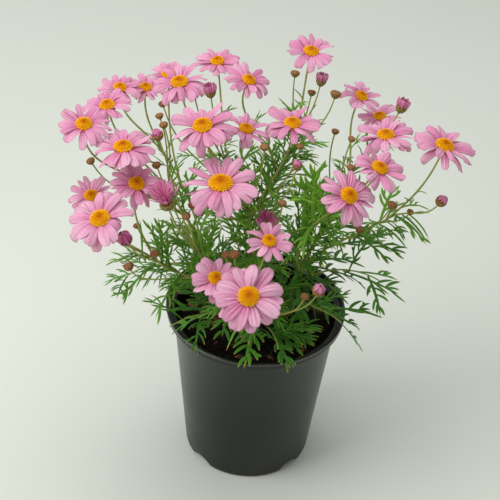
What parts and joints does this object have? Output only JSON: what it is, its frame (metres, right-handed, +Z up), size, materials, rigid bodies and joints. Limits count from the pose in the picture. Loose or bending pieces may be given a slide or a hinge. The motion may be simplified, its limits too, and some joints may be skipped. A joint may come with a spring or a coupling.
{
  "type": "potted marguerite daisy",
  "caption": "Bushy pink marguerite daisy in flower, with yellow discs, buds and finely cut leaves, standing in a plain black nursery pot.",
  "frame": {"origin": "centre of the pot's flat underside, on the pot's axis", "axes": "+Z up along the pot's axis; -Y towards the viewer of the picture, +X to the viewer's right"},
  "size_m": [0.2927, 0.231, 0.3291],
  "materials": {
    "pot_plastic": "satin black nursery pot plastic",
    "potting_mix": "dark crumbly potting mix with bark chips",
    "green_growth": "matt green leaves and stems, browner stalks and buds",
    "ray_florets": "soft matt pink petals",
    "disc_florets": "matt golden yellow florets"
  },
  "bodies": {
    "root": {"pot": "pot_plastic", "potting_mix": "potting_mix", "leafy_stem_left": "green_growth", "rays_left_1": "ray_florets", "disc_left_1": "disc_florets", "rays_left_2": "ray_florets", "disc_left_2": "disc_florets", "rays_left_3": "ray_florets", "disc_left_3": "disc_florets", "rays_left_4": "ray_florets", "disc_left_4": "disc_florets", "rays_left_5": "ray_florets", "disc_left_5": "disc_florets", "rays_left_6": "ray_florets", "disc_left_6": "disc_florets", "leafy_stem_front_left": "green_growth", "rays_front_left_1": "ray_florets", "disc_front_left_1": "disc_florets", "rays_front_left_2": "ray_florets", "disc_front_left_2": "disc_florets", "rays_front_left_3": "ray_florets", "disc_front_left_3": "disc_florets", "rays_front_left_4": "ray_florets", "leafy_stem_back": "green_growth", "rays_back_1": "ray_florets", "disc_back_1": "disc_florets", "rays_back_2": "ray_florets", "disc_back_2": "disc_florets", "rays_back_3": "ray_florets", "disc_back_3": "disc_florets", "rays_back_4": "ray_florets", "disc_back_4": "disc_florets", "leafy_stem_front": "green_growth", "rays_front_1": "ray_florets", "disc_front_1": "disc_florets", "rays_front_2": "ray_florets", "disc_front_2": "disc_florets", "rays_front_3": "ray_florets", "disc_front_3": "disc_florets", "rays_front_4": "ray_florets", "disc_front_4": "disc_florets", "rays_front_5": "ray_florets", "disc_front_5": "disc_florets", "rays_front_6": "ray_florets", "disc_front_6": "disc_florets", "rays_front_7": "ray_florets", "disc_front_7": "disc_florets", "leafy_stem_right": "green_growth", "rays_right_1": "ray_florets", "disc_right_1": "disc_florets", "rays_right_2": "ray_florets", "disc_right_2": "disc_florets", "rays_right_3": "ray_florets", "disc_right_3": "disc_florets", "rays_right_4": "ray_florets", "disc_right_4": "disc_florets", "rays_right_5": "ray_florets", "disc_right_5": "disc_florets", "rays_right_6": "ray_florets", "disc_right_6": "disc_florets"}
  },
  "joints": []
}
